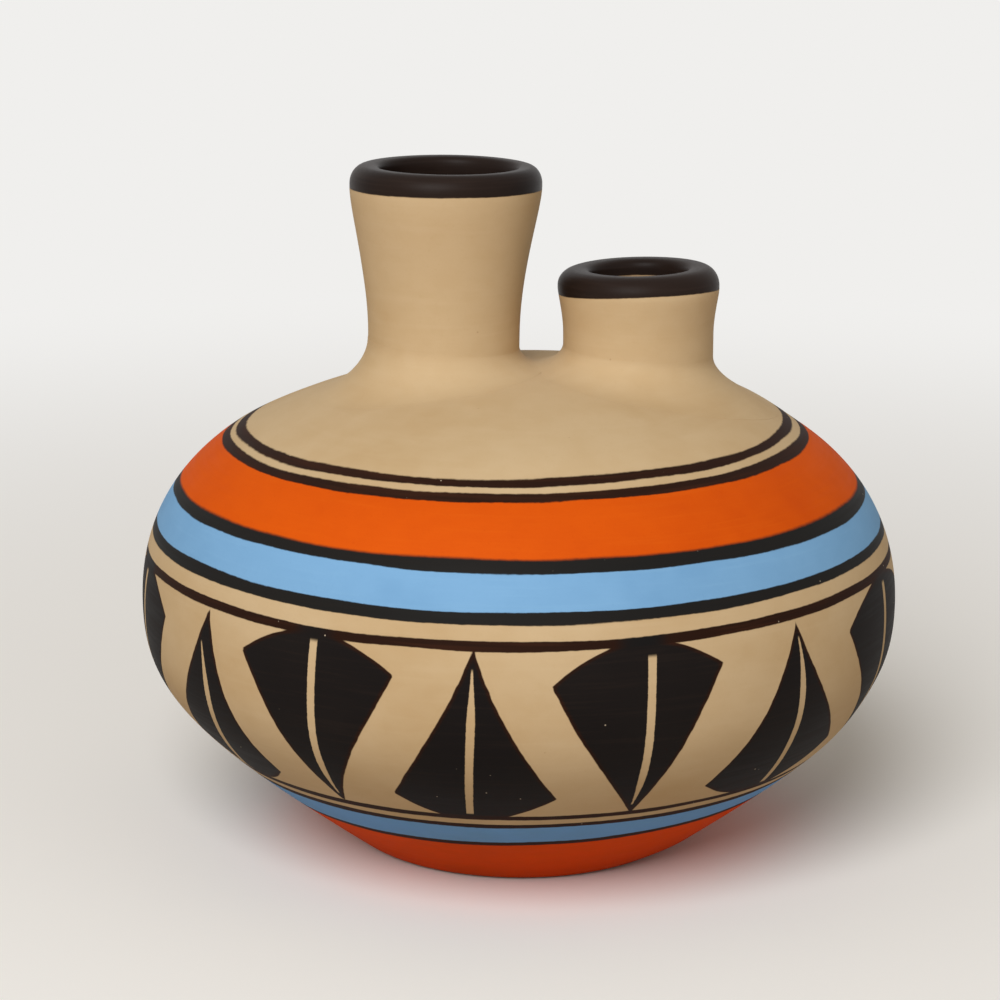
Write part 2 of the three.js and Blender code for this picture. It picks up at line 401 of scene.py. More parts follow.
def specks(spot, apart, radius, share):
    """Small round spots, so many millimetres apart, on a share of the places where one could be."""
    placed = spot.node("ShaderNodeMapping", {}, {"Vector": spot, "Scale": (1 / (MM * apart),) * 3})
    cells = spot.tree.nodes.new("ShaderNodeTexVoronoi")
    cells.inputs["Scale"].default_value = 1.0
    spot.tree.links.new(placed.socket, cells.inputs["Vector"])
    shade = Wire(spot.tree, cells.outputs["Color"])
    chosen = spot.node("ShaderNodeSeparateColor", {}, {"Color": shade}, "Red")
    away = Wire(spot.tree, cells.outputs["Distance"])
    spot_on = 1 - away.rise(0.5 * radius / apart, 1.5 * radius / apart)
    return spot_on * spot.math("LESS_THAN", chosen, share)


def tint(under, over, mask):
    """One colour over another, as far as the mask says."""
    values = {"Factor": mask, "A": under, "B": over}
    return mask.node("ShaderNodeMix", {"data_type": "RGBA"}, values, "Result")


def lay(under, over, mask):
    """One coat (colour, roughness, height in mm) over another, as far as the mask says."""
    roughness = mask * (over[1] - under[1]) + under[1]
    height = mask * (over[2] - under[2]) + under[2]
    return tint(under[0], over[0], mask), roughness, height


class Strokes:
    """The marks of hand, rag and brush that the coats on one piece share."""

    def __init__(self, spot):
        self.spot = spot
        self.cloud = grain(spot, (34, 34, 24), 3.0)
        self.patch = grain(spot, (5.5, 5.5, 3.5), 3.0, 1.9)
        self.rubbed = grain(spot, (30, 30, 1.4), 2.0)
        self.brushed = grain(spot, (22, 22, 0.8), 3.0, 7.3)
        self.fine = grain(spot, (0.7, 0.7, 0.7), 3.0)

    def cover(self, clouds, patches):
        """How fully a coat covers, from a quarter to all of it, in clouds and in small patches."""
        return self.cloud.rise(*clouds) * 0.6 + self.patch.rise(*patches) * 0.15 + 0.25


TAN = srgb(198, 173, 136)
TAN_DEEP = srgb(187, 158, 117)
TAN_PALE = srgb(210, 189, 155)
GRIT = srgb(150, 112, 76)
GRIT_SPOTS = (5.0, 0.2, 0.22)  # millimetres apart, radius, and share of the places


def tan_coat(marks):
    """Buff slip, rubbed with a smooth stone until it has a soft sheen."""
    colour = tint(TAN_DEEP, TAN, marks.cover((0.3, 0.6), (0.35, 0.62)))
    colour = tint(colour, TAN_PALE, marks.rubbed.rise(0.5, 0.75) * 0.09)
    colour = tint(colour, TAN_DEEP, marks.fine.rise(0.58, 0.78) * 0.22)
    colour = tint(colour, GRIT, specks(marks.spot, *GRIT_SPOTS) * 0.4)
    roughness = 0.62 + swing(marks.patch, 0.14) + swing(marks.fine, 0.1)
    height = swing(marks.rubbed, 0.009) + swing(marks.patch, 0.014) + swing(marks.fine, 0.01)
    return colour, roughness, height


PAINT_THICK = 0.03


def paint_coat(marks, deep, body, thin, streaks, roughness):
    """Paint brushed round the pot in two coats, thinner in streaks between the strokes."""
    colour = tint(deep, body, marks.cover((0.2, 0.6), (0.3, 0.65)))
    colour = tint(colour, thin, streaks)
    colour = tint(colour, deep, marks.fine.rise(0.58, 0.78) * 0.25)
    height = PAINT_THICK + swing(marks.brushed, 0.03) + swing(marks.fine, 0.01)
    return colour, roughness + swing(marks.brushed, 0.2), height


ORANGE = srgb(213, 86, 10)
ORANGE_DEEP = srgb(198, 72, 8)
ORANGE_THIN = srgb(221, 102, 22)


def orange_coat(marks, body=ORANGE):
    """Red-orange paint, a little thin between the strokes."""
    streaks = marks.brushed.rise(0.52, 0.75) * 0.16
    return paint_coat(marks, ORANGE_DEEP, body, ORANGE_THIN, streaks, 0.66)


BLUE = srgb(122, 169, 211)
BLUE_DEEP = srgb(108, 155, 198)
BLUE_PALE = srgb(134, 180, 218)


def blue_coat(marks, body=BLUE):
    """Sky blue paint, opaque, with faint brush marks."""
    streaks = marks.brushed.rise(0.5, 0.75) * 0.2
    return paint_coat(marks, BLUE_DEEP, body, BLUE_PALE, streaks, 0.64)


CHIP = srgb(222, 205, 180)
CHIP_SPOTS = (3.5, 0.16, 0.35)  # millimetres apart, radius, and share of the places


def line_coat(marks, body, thin, streaks, roughness, thickness):
    """Line paint from a loaded brush, with a few pinhead chips where the pot has been knocked."""
    colour = tint(body, thin, streaks)
    colour = tint(colour, CHIP, specks(marks.spot, *CHIP_SPOTS) * 0.55)
    return colour, roughness + swing(marks.brushed, 0.2), thickness + swing(marks.brushed, 0.02)


BROWN = srgb(38, 20, 12)
BROWN_THIN = srgb(56, 31, 20)


def brown_coat(marks):
    """Dark brown line paint boiled down from plants, thinner and warmer than the black."""
    streaks = marks.brushed.rise(0.45, 0.72) * 0.6
    return line_coat(marks, BROWN, BROWN_THIN, streaks, 0.64, 1.5 * PAINT_THICK)


RAW_CLAY = srgb(186, 156, 120)
RAW_ROUGHNESS = 0.85


def raw_coat(marks):
    """The scraped clay itself, without slip or paint."""
    colour = tint(RAW_CLAY, TAN_DEEP, marks.fine.rise(0.4, 0.7) * 0.6)
    return colour, RAW_ROUGHNESS, swing(marks.fine, 0.08)


def facing_up(spot):
    """1 on a level top, 0 on an upright wall, -1 on an underside."""
    normal = spot.node("ShaderNodeTexCoord", {}, {}, "Normal")
    return spot.node("ShaderNodeSeparateXYZ", {}, {"Vector": normal}, "Z")


STRAY = 0.85  # how far a brushed edge strays along a stroke
BRISTLE = 0.22  # and how far its bristles fray it


def brush_wander(spot):
    """How far, in millimetres, a brushed edge lies off its ring."""
    slow = grain(spot, (26, 26, 2.6), 1.0, 3.1)
    bristles = grain(spot, (1.8, 1.8, 1.2), 2.0, 5.7)
    return swing(slow, STRAY) + swing(bristles, BRISTLE)


def banded(marks, lowest, rings):
    """Coats laid from the foot up.

    Each ring is its height at the front, its tilt and bow, its softness, and the coat above it.
    """
    across = measured(marks.spot, "X")
    deep = measured(marks.spot, "Y")
    side = across / marks.spot.math("SQRT", across * across + deep * deep + 1.0)
    level = measured(marks.spot, "Z") + brush_wander(marks.spot)
    coat = lowest
    for ring, tilt, bow, soft, above in rings:
        edge = side * tilt + side * side * bow + ring
        coat = lay(coat, above, (level - edge).rise(-soft, soft))
    return coat


def fire(material, coat, sheen):
    """Wires a finished coat to the material's surface. The sheen is how strongly it mirrors."""
    colour, roughness, height = coat
    bump = colour.node("ShaderNodeBump", {}, {"Height": height, "Distance": MM, "Strength": 1.0})
    surface = colour.node("ShaderNodeBsdfPrincipled", {}, {
        "Base Color": colour,
        "Roughness": roughness,
        "Normal": bump,
        "Specular IOR Level": sheen,
    })
    colour.node("ShaderNodeOutputMaterial", {}, {"Surface": surface})


MATT = 0.05
CRISP = 0.14  # half the width of a clean brush edge
# Both edges of each line: height at the front, tilt, bow and softness
FOOT_LINE = [(16.25, 2.2, 0.8, CRISP), (17.6, 2.2, 0.68, CRISP)]
LOWER_LINE = [(23.6, 0.85, 0.5, CRISP), (25.1, 0.65, 0.5, CRISP)]
FOOT_ORANGE = srgb(230, 77, 6)
FOOT_BLUE = srgb(114, 168, 228)

pan_glaze, pan_spot = new_glaze("pan_orange_and_blue")
pan_marks = Strokes(pan_spot)
pan_tan = tan_coat(pan_marks)
pan_brown = brown_coat(pan_marks)
pan_coat = banded(pan_marks, orange_coat(pan_marks, FOOT_ORANGE), [
    (*FOOT_LINE[0], pan_brown),
    (*FOOT_LINE[1], blue_coat(pan_marks, FOOT_BLUE)),
    (*LOWER_LINE[0], pan_brown),
    (*LOWER_LINE[1], pan_tan),
])
pan_up = facing_up(pan_spot)
pan_inner = pan_up.rise(-0.1, 0.1)
pan_worn = (swing(pan_marks.patch, 0.11) - pan_up).rise(0.93, 0.97)  # rubbed bare where it stands
fire(pan_glaze, lay(pan_coat, raw_coat(pan_marks), pan_inner + pan_worn), MATT)

pan_outside = body_side(FOOT_WEAR, PAN_RIM, 0.0, PAN_STEPS)
pan_inside = body_side(PAN_FLOOR, PAN_RIM, CLAY_WALL, INSIDE_STEPS)[::-1]
foot_rounding = bezier([(FOOT_RADIUS - FOOT_WEAR, 0.0), foot_edge, pan_outside[0]], FOOT_STEPS)[:-1]
foot_flat = [(radius, 0.0) for radius in FLAT_RINGS]
pan_bottom = [(radius, PAN_FLOOR) for radius in FLAT_RINGS[::-1]]
pan_skin = [*foot_flat, *foot_rounding, *pan_outside]
pan_outline = [*pan_skin, *pan_inside, *pan_bottom]
base_pan = turn("base_pan_painted", pan_outline, PAN_TURNS, pan_glaze)
spread_out(base_pan.data, 2, (len(pan_skin) - 1) / (len(pan_outline) - 1))
hand_built(base_pan, 0.0, BODY_STILL, BODY_FULL)
fuller_flank(base_pan)
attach(base_pan, "root")
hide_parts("base_pan")


# Coiled wall
# The wall is raised from the rim of the pan with rolls of clay, pinched, scraped thin and rubbed
# smooth. Round its belly runs a frieze of feathers, point up and point down by turns, brushed freehand
# in black on the buff slip, each with its quill left bare, between brown lines.
SHOULDER_SEAM = 72.7
WALL_STEPS = 80
WALL_TURNS = 720
FRIEZE_LINE = [(26.7, 0.65, 0.35, CRISP), (28.1, 0.35, 0.6, CRISP)]
NECKLINE = [(70.2, 0.45, 0.9, CRISP), (72.2, 0.45, 0.9, CRISP)]
BLACK = srgb(22, 20, 20)
BLACK_THIN = srgb(38, 33, 30)

# Each feather: point, left corner and right corner of its fan, the middle of the fan's edge, how far
# the two sides bend sideways, and the quill from its fine end to its blunt end. Degrees round the pot
# from the front, and millimetres above the ground.
seen_feathers = [
    ((-50.1, 70.6), (-64.2, 35.2), (-42.0, 32.8), (-53.0, 27.8), 2.6, -0.6,
     [(-51.4, 62.5), (-49.8, 50.0), (-50.8, 40.0), (-57.0, 28.4)]),
    ((-31.3, 27.4), (-42.1, 64.0), (-17.1, 63.9), (-29.6, 71.1), 2.0, 0.9,
     [(-31.0, 30.5), (-29.6, 50.0), (-29.4, 69.3)]),
    ((-6.1, 71.0), (-19.6, 34.0), (6.1, 34.2), (-7.4, 26.5), 2.6, -2.4,
     [(-6.2, 66.2), (-6.2, 48.0), (-7.9, 28.8)]),
    ((19.7, 27.4), (4.6, 62.8), (29.4, 64.9), (16.6, 71.5), -2.6, -1.8,
     [(19.0, 30.8), (18.1, 49.0), (18.6, 68.3)]),
    ((43.1, 70.4), (31.0, 33.7), (58.8, 36.9), (45.5, 28.2), 1.2, -4.1,
     [(43.3, 66.8), (45.0, 54.0), (44.2, 43.0), (46.4, 29.6)]),
    ((71.5, 27.4), (55.7, 63.9), (85.0, 64.5), (69.4, 72.0), -1.0, 0.6,
     [(70.6, 31.0), (69.6, 52.0), (70.6, 69.8)]),
    ((284.6, 27.4), (271.2, 64.3), (297.0, 63.6), (284.0, 72.3), 0.8, 1.4,
     [(284.4, 31.0), (283.4, 52.0), (284.0, 69.6)]),
]


def feather_behind(middle, upright, lean):
    """A feather on the far side, as the painter spaces and leans it."""
    if upright:
        return ((middle, 70.4), (middle - 13.1 + lean, 33.8), (middle + 12.9 + lean, 34.2),
                (middle + lean, 26.5), 1.8 + lean, -1.8 + lean,
                [(middle, 66.6), (middle + 0.2 * lean, 48.0), (middle + 1.2 * lean, 28.8)])
    return ((middle + lean, 27.4), (middle - 12.7, 63.8), (middle + 12.5, 64.2),
            (middle, 72.2), 1.0 + lean, -0.8 + lean,
            [(middle + 0.9 * lean, 30.5), (middle + 0.3 * lean, 50.0), (middle, 69.0)])


hidden_uprights = [(96.6, 0.6), (149.4, -1.1), (203.6, 0.9), (256.4, -0.5)]
hidden_inverted = [(124.6, 1.2), (177.2, -0.8), (230.4, 0.4)]
feathers = list(seen_feathers)
feathers += [feather_behind(middle, True, lean) for middle, lean in hidden_uprights]
feathers += [feather_behind(middle, False, lean) for middle, lean in hidden_inverted]

FRIEZE_RADIUS = 86.0  # degrees become millimetres at this radius
FEATHER_REACH = 30.0  # no feather is wider than this many degrees to a side
SIDE_STEPS = 20
FAN_STEPS = 24
QUILL_STEPS = 40
NO_FEATHER = 9.0  # millimetres, written where no feather is near
outline_length = lengths(body_outline)


def unrolled(places):
    """Degrees and heights as millimetres along and up the unrolled wall."""
    places = np.asarray(places, float)
    up = np.interp(places[:, 1], body_outline[:, 1], outline_length)
    return np.column_stack([np.radians(places[:, 0]) * FRIEZE_RADIUS, up])


def inside_distance(points, shape):
    """How far each point lies inside a closed shape, negative outside."""
    nearest = np.full(len(points), np.inf)
    inside = np.zeros(len(points), bool)
    for start, end in zip(shape, np.roll(shape, -1, axis=0)):
        along = end - start
        share = np.clip((points - start) @ along / (along @ along), 0, 1)
        nearest = np.minimum(nearest, np.linalg.norm(points - start - share[:, None] * along, axis=1))
        crosses = (start[1] > points[:, 1]) != (end[1] > points[:, 1])
        climb = along[1] or 1e-9  # a level edge is never crossed
        reach = along[0] * (points[:, 1] - start[1]) / climb + start[0]
        inside ^= crosses & (points[:, 0] < reach)
    return np.where(inside, nearest, -nearest)


def feather_outline(point, left, right, fan, left_bend, right_bend):
    """The drawn edge of a feather, in degrees and millimetres."""
    left_middle = towards(point, left, 0.5) + (left_bend, 0.0)
    right_middle = towards(point, right, 0.5) + (right_bend, 0.0)
    fan_corner = 2 * np.array(fan) - towards(left, right, 0.5)
    return np.vstack([
        bezier([point, left_middle, left], SIDE_STEPS)[:-1],
        bezier([left, fan_corner, right], FAN_STEPS)[:-1],
        bezier([right, right_middle, point], SIDE_STEPS)[:-1],
    ])


def paint_feathers(mesh):
    """Writes on each point how deep it lies in a feather, and where across and along its quill.

    The fans run straight on over the line above them.
    """
    points = points_of(mesh)
    angle = np.degrees(round_angle(points))
    ink = np.full(len(points), -NO_FEATHER)
    across = np.full(len(points), NO_FEATHER)
    along = np.zeros(len(points))
    line, tilt, bow, _ = NECKLINE[0]
    side = np.sin(np.radians(angle))
    under_line = np.minimum(points[:, 2], line + tilt * side + bow * side * side)
    half_way_in = body_side(PAN_RIM, SHOULDER_SEAM, CLAY_WALL / 2, WALL_STEPS)
    half_way_in = np.interp(points[:, 2], half_way_in[:, 1], half_way_in[:, 0])
    outer = np.hypot(points[:, 0], points[:, 1]) > half_way_in
    for *edge, quill in feathers:
        start = edge[0][0]
        near_angle = (angle - start + 180) % 360 - 180 + start
        near = np.flatnonzero(outer & (np.abs(near_angle - start) < FEATHER_REACH))
        flat = unrolled(np.column_stack([near_angle[near], under_line[near]]))
        depth = inside_distance(flat, unrolled(feather_outline(*edge)))
        closest = depth > ink[near]
        ink[near] = np.maximum(ink[near], depth)
        drawn = unrolled(bezier(quill, QUILL_STEPS))
        upwards = drawn[np.argsort(drawn[:, 1])]
        middle = np.interp(flat[:, 1], upwards[:, 1], upwards[:, 0])
        share = (flat[:, 1] - drawn[0, 1]) / (drawn[-1, 1] - drawn[0, 1])
        across[near[closest]] = (flat[:, 0] - middle)[closest]
        along[near[closest]] = share[closest]
    for name, values in (("feather_ink", ink), ("quill_across", across), ("quill_along", along)):
        mesh.attributes.new(name, "FLOAT", "POINT").data.foreach_set("value", values.astype(np.float32))


def black_coat(marks, body=BLACK):
    """Black line paint, a little thin in places."""
    streaks = marks.brushed.rise(0.5, 0.72) * 0.25 + marks.cloud.rise(0.4, 0.7) * 0.2
    return line_coat(marks, body, BLACK_THIN, streaks, 0.6, 2 * PAINT_THICK)


def written(spot, name):
    """What paint_feathers wrote under this name."""
    return spot.node("ShaderNodeAttribute", {"attribute_name": name}, {}, "Fac")


INK_EDGE = (0.15, 1.1)  # how deep in a feather its black begins and is full
FEATHER_WANDER = 0.5
FULL_BLACK = 0.92
QUILL_FINE = 0.2  # half the width of a quill at its fine end
QUILL_GROWTH = 0.7  # and what it gains towards the blunt end


def feather_frieze(marks, ground, black, brown):
    """The feathers over their ground: black, browner where the paint runs thin, with bare quills."""
    ink = written(marks.spot, "feather_ink") + brush_wander(marks.spot) * FEATHER_WANDER
    coat = lay(ground, brown, ink.rise(-CRISP, CRISP))
    coat = lay(coat, black, ink.rise(*INK_EDGE) * FULL_BLACK)
    along = written(marks.spot, "quill_along")
    half_width = QUILL_FINE + along.rise(-0.02, 0.3) * QUILL_GROWTH + swing(marks.brushed, 0.25)
    quill = (half_width - abs(written(marks.spot, "quill_across"))).rise(-0.1, 0.1)
    quill = quill * along.rise(-0.01, 0.015) * (1 - along.rise(0.985, 1.01)) * ink.rise(0, CRISP)
    return lay(coat, ground, quill)


def facing_out(spot, axis=0.0):
    """Above 0 on the outside of a round wall, below 0 on its inside."""
    outwards = {"X": measured(spot, "X") - axis, "Y": measured(spot, "Y"), "Z": 0.0}
    return spot.node("ShaderNodeVectorMath", {"operation": "DOT_PRODUCT"}, {
        0: spot.node("ShaderNodeTexCoord", {}, {}, "Normal"),
        1: spot.node("ShaderNodeCombineXYZ", {}, outwards),
    }, "Value")


wall_glaze, wall_spot = new_glaze("wall_feather_frieze")
wall_marks = Strokes(wall_spot)
wall_tan = tan_coat(wall_marks)
wall_brown = brown_coat(wall_marks)
wall_black = black_coat(wall_marks)
frieze = feather_frieze(wall_marks, wall_tan, wall_black, wall_brown)
neckline_coat = lay(wall_brown, wall_black, written(wall_spot, "feather_ink").rise(*INK_EDGE))
wall_coat = banded(wall_marks, blue_coat(wall_marks, FOOT_BLUE), [
    (*LOWER_LINE[0], wall_brown),
    (*LOWER_LINE[1], wall_tan),
    (*FRIEZE_LINE[0], wall_brown),
    (*FRIEZE_LINE[1], frieze),
    (*NECKLINE[0], neckline_coat),
    (*NECKLINE[1], wall_tan),
])
fire(wall_glaze, lay(raw_coat(wall_marks), wall_coat, facing_out(wall_spot).rise(-0.5, 0.5)), MATT)

wall_outside = body_side(PAN_RIM, SHOULDER_SEAM, 0.0, WALL_STEPS)
wall_inside = body_side(PAN_RIM, SHOULDER_SEAM, CLAY_WALL, INSIDE_STEPS)[::-1]
wall_outline = [*wall_outside, *wall_inside, wall_outside[0]]
coiled_wall = turn("coiled_wall_painted", wall_outline, WALL_TURNS, wall_glaze)
spread_out(coiled_wall.data, 3, (len(wall_outside) - 1) / (len(wall_outline) - 1))
paint_feathers(coiled_wall.data)
hand_built(coiled_wall, 0.0, BODY_STILL, BODY_FULL)
fuller_flank(coiled_wall)
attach(coiled_wall, "root")
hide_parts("coiled_wall")


# Shoulder dome
# The shoulder, drawn in over the hollow and closed at the crown, with a round hole cut under each neck.
# It is painted with broad rings of blue and red-orange between dark lines; the crown stays bare buff.
DOME_STEPS = 96
DOME_INSIDE_STEPS = 24
DOME_TURNS = 540
PAIR_CENTRE = 5.025
SADDLE_GAP = 9.75
NECK_WALL = 5.0
TALL_ROOT = 17.85
SHORT_ROOT = 17.7
TALL_AXIS = PAIR_CENTRE - SADDLE_GAP / 2 - TALL_ROOT
SHORT_AXIS = PAIR_CENTRE + SADDLE_GAP / 2 + SHORT_ROOT
CROWN_LEAN = 0.018  # the closed crown stands higher towards the short neck
CROWN_LIFT = 0.48
LEAN_RADIUS = 55.0
LEAN_FADE = 15.0
PUNCH_DEPTH = 50.0
PUNCH_SIDES = 96
SOFT = 0.4  # half the width of the edge where the orange was brushed down over the black
SHOULDER_RINGS = [
    (75.5, 0.3, 0.9, CRISP), (78.0, 0.1, 0.8, CRISP),
    (85.3, -0.2, 0.1, CRISP), (87.95, 0.1, 0.1, SOFT),
    (97.7, 0.6, -0.1, CRISP), (99.15, 0.75, 0.0, CRISP),
    (100.2, 1.0, 0.0, CRISP), (101.5, 1.1, 0.05, CRISP),
]
# The dome's rings get a lighter black than the rest of the pot: a painted sheen, for rings that face up
# towards the lamp.
RING_BLACK_PAINTED_SHEEN = srgb(29, 28, 27)

dome_glaze, dome_spot = new_glaze("dome_blue_and_orange")
dome_marks = Strokes(dome_spot)
dome_tan = tan_coat(dome_marks)
dome_brown = brown_coat(dome_marks)
# black line paint with the lighter, painted-sheen black of the dome's rings
dome_black_painted_sheen = black_coat(dome_marks, RING_BLACK_PAINTED_SHEEN)
ring_coats = [dome_black_painted_sheen, blue_coat(dome_marks), dome_black_painted_sheen, orange_coat(dome_marks),
              dome_brown, dome_tan, dome_brown, dome_tan]
dome_coat = banded(dome_marks, dome_brown, [
    (*NECKLINE[1], dome_tan),
    *[(*ring, coat) for ring, coat in zip(SHOULDER_RINGS, ring_coats)],
])
fire(dome_glaze, lay(raw_coat(dome_marks), dome_coat, facing_up(dome_spot).rise(-0.1, 0.1)), MATT)

dome_outside = body_side(SHOULDER_SEAM, CROWN_HEIGHT, 0.0, DOME_STEPS)
dome_outside[-1, 0] = 0.0
inner_crown = CROWN_HEIGHT - CLAY_WALL
dome_inside = body_side(SHOULDER_SEAM, inner_crown, CLAY_WALL, DOME_INSIDE_STEPS)[::-1]
dome_inside[0] = (0.0, inner_crown)
shoulder_dome = turn("shoulder_dome_painted", [*dome_inside, *dome_outside], DOME_TURNS, dome_glaze)
hand_built(shoulder_dome, 0.0, BODY_STILL, BODY_FULL)


def crown_lean(across, deep):
    """How far the leaning crown stands above or below a round dome."""
    share = smooth((LEAN_RADIUS + LEAN_FADE - np.hypot(across, deep)) / LEAN_FADE)
    return (CROWN_LIFT + CROWN_LEAN * across) * share


dome_points = points_of(shoulder_dome.data)
dome_points[:, 2] += crown_lean(dome_points[:, 0], dome_points[:, 1])
move_points(shoulder_dome.data, dome_points)


def cut_hole(piece, axis, radius):
    """Cuts a round hole straight down through the dome."""
    punch_mesh = bpy.data.meshes.new("punch")
    form = bmesh.new()
    width = radius * MM
    size = {"radius1": width, "radius2": width, "depth": PUNCH_DEPTH * MM}
    bmesh.ops.create_cone(form, cap_ends=True, segments=PUNCH_SIDES, **size)
    bmesh.ops.translate(form, verts=form.verts, vec=(axis * MM, 0.0, CROWN_HEIGHT * MM))
    form.to_mesh(punch_mesh)
    form.free()
    punch = bpy.data.objects.new("punch", punch_mesh)
    bpy.context.scene.collection.objects.link(punch)
    modifier = piece.modifiers.new("hole", "BOOLEAN")
    modifier.operation = "DIFFERENCE"
    modifier.solver = "EXACT"
    modifier.object = punch
    settle(piece, modifier)
    bpy.data.objects.remove(punch)
    bpy.data.meshes.remove(punch_mesh)


cut_hole(shoulder_dome, TALL_AXIS, TALL_ROOT - NECK_WALL)
cut_hole(shoulder_dome, SHORT_AXIS, SHORT_ROOT - NECK_WALL)
shoulder_dome.data.set_sharp_from_angle(angle=SHARP)
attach(shoulder_dome, "root")
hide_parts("shoulder_dome")


# Necks
# Two thrown tubes, one tall and one short, trimmed to the curve of the dome and luted on with slip.
# They stand upright at the root and flare a little to the rim; outside they are rubbed buff slip,
# inside raw clay, with the black of the lip brushed down past the rim by a wavering hair.
UPRIGHT = 8.5
FLARE_START = 0.43
FLARE_END = 0.84
FLARE_STEPS = 40
NECK_FOOT = 100.0  # a height inside the dome, from which the foot is drawn up to it
FOOT_RING = 117.0  # the first ring above the trimmed foot
SINK = 0.5  # how deep the foot of a neck is bedded in the dome
NECK_TURNS = 192
NECK_STILL = 121.0
NECK_FULL = 136.0
TALL_RIM = 22.35
TALL_SEAM = 156.5
TALL_DRIFT = (-0.35, 0.24)  # how far the root and the rim stand off their axis
SHORT_RIM = 18.92
SHORT_SEAM = 133.0
SHORT_DRIFT = (0.3, 0.2)
LIP_BLACK = srgb(27, 19, 16)
LIP_GREY = srgb(50, 39, 34)
LIP_ROUGHNESS = 0.4
LIP_WANDER = 0.8
INNER_TILT = 0.6

# Height of the black's edge at the sides, its tilt to the right, its tilt and bow to the front, and
# the height where it ends inside
TALL_EDGE = (156.1, -0.1, 0.6, 0.0, 150.0)
SHORT_EDGE = (132.05, 0.8, 0.8, 0.85, 133.75)


def dome_height(across, deep):
    """Height of the dome's outside."""
    return np.interp(np.hypot(across, deep), dome[::-1, 0], dome[::-1, 1]) + crown_lean(across, deep)


def neck_coat(spot, axis, rim, edge):
    """Buff outside, raw clay inside, and satin black above a hand-painted edge."""
    marks = Strokes(spot)
    outside = facing_out(spot, axis).rise(-0.5, 0.5)
    coat = lay(raw_coat(marks), tan_coat(marks), outside)
    greyed = marks.brushed.rise(0.45, 0.75) * 0.2 + marks.cloud.rise(0.35, 0.65) * 0.4
    satin = (
        tint(LIP_BLACK, LIP_GREY, greyed),
        LIP_ROUGHNESS + swing(marks.cloud, 0.2) + swing(marks.fine, 0.12),
        2 * PAINT_THICK + swing(marks.brushed, 0.02) + swing(marks.fine, 0.01),
    )
    right = (measured(spot, "X") - axis) / rim
    back = measured(spot, "Y") / rim
    side, tilt, front_tilt, front_bow, inner = edge
    painted_from = right * tilt - back * front_tilt + back * back * front_bow + side
    ends = right * INNER_TILT + inner
    level = measured(spot, "Z") + brush_wander(spot) * LIP_WANDER - ends
    return lay(coat, satin, (level - (painted_from - ends) * outside).rise(-CRISP, CRISP))


def stand(piece, seam, drift):
    """Sets a neck or lip off its axis as it was luted on, by its drift at the root and at the rim."""
    points = points_of(piece.data)
    share = np.clip((points[:, 2] - CROWN_HEIGHT) / (seam - CROWN_HEIGHT), 0, 1)
    points[:, 0] += drift[0] + (drift[1] - drift[0]) * share
    move_points(piece.data, points)


def make_neck(name, axis, root, rim, seam, edge, drift):
    """A neck, its glaze and its mesh, with its foot trimmed to the dome."""
    glaze, spot = new_glaze(name + "_buff")
    fire(glaze, neck_coat(spot, axis, rim, edge), MATT)
    upright_top = CROWN_HEIGHT + UPRIGHT
    start = towards(upright_top, seam, FLARE_START)
    end = towards(upright_top, seam, FLARE_END)
    flare = bezier([(root, upright_top), (root, start), (rim, end), (rim, seam)], FLARE_STEPS)
    top_step = towards(flare[-1], flare[-2], END_STEP)
    outside = np.vstack([[(root, NECK_FOOT), (root, FOOT_RING)], flare[:-1], [top_step], flare[-1:]])
    outline = [*outside, *(outside[::-1] - (NECK_WALL, 0.0)), outside[0]]
    neck = turn(name + "_burnished", outline, NECK_TURNS, glaze, axis)
    spread_out(neck.data, 1, (len(outside) - 1) / (len(outline) - 1))
    points = points_of(neck.data)
    trimmed = points[:, 2] < NECK_FOOT + 1
    points[trimmed, 2] = dome_height(points[trimmed, 0], points[trimmed, 1]) - SINK
    move_points(neck.data, points)
    hand_built(neck, axis, NECK_STILL, NECK_FULL)
    stand(neck, seam, drift)
    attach(neck, "root")
    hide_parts(name)


make_neck("tall_neck", TALL_AXIS, TALL_ROOT, TALL_RIM, TALL_SEAM, TALL_EDGE, TALL_DRIFT)
make_neck("short_neck", SHORT_AXIS, SHORT_ROOT, SHORT_RIM, SHORT_SEAM, SHORT_EDGE, SHORT_DRIFT)


# Root coils
# A roll of soft clay is pressed into the corner round the root of each neck and smoothed with a wet
# thumb to a hollow sweep from dome to neck. Between the necks the two run together in a saddle.
COIL_RINGS = 26
# Reach over the dome away from the saddle and towards it, then height up the neck likewise
TALL_COIL = (13.5, 6.4, 10.6, 5.0)
SHORT_COIL = (15.5, 8.0, 7.2, 5.7)
TALL_STAND = TALL_AXIS + TALL_DRIFT[0]  # where the necks' roots stand
SHORT_STAND = SHORT_AXIS + SHORT_DRIFT[0]
COIL_LIFT = 0.02  # keeps the smoothed skin just over what it covers
COIL_BED = 0.4  # and its underside just below
COIL_INTO = 1.5  # how far it is pressed into the neck's wall


def round_neck(towards_saddle, away, near):
    """A size away from the saddle passing into one near it, in the direction that this cosine gives."""
    return away + (near - away) * (1 + towards_saddle) / 2


def coil_top(across, deep):
    """Height of the dome with both coils on it."""
    height = dome_height(across, deep) + COIL_LIFT
    for axis, root, coil in ((TALL_STAND, TALL_ROOT, TALL_COIL), (SHORT_STAND, SHORT_ROOT, SHORT_COIL)):
        away = np.hypot(across - axis, deep)
        towards_saddle = (across - axis) / away * np.sign(PAIR_CENTRE - axis)
        rest = np.clip(1 - (away - root) / round_neck(towards_saddle, *coil[:2]), 0, 1)
        height += round_neck(towards_saddle, *coil[2:]) * (1 - np.sqrt(1 - rest * rest))
    return height


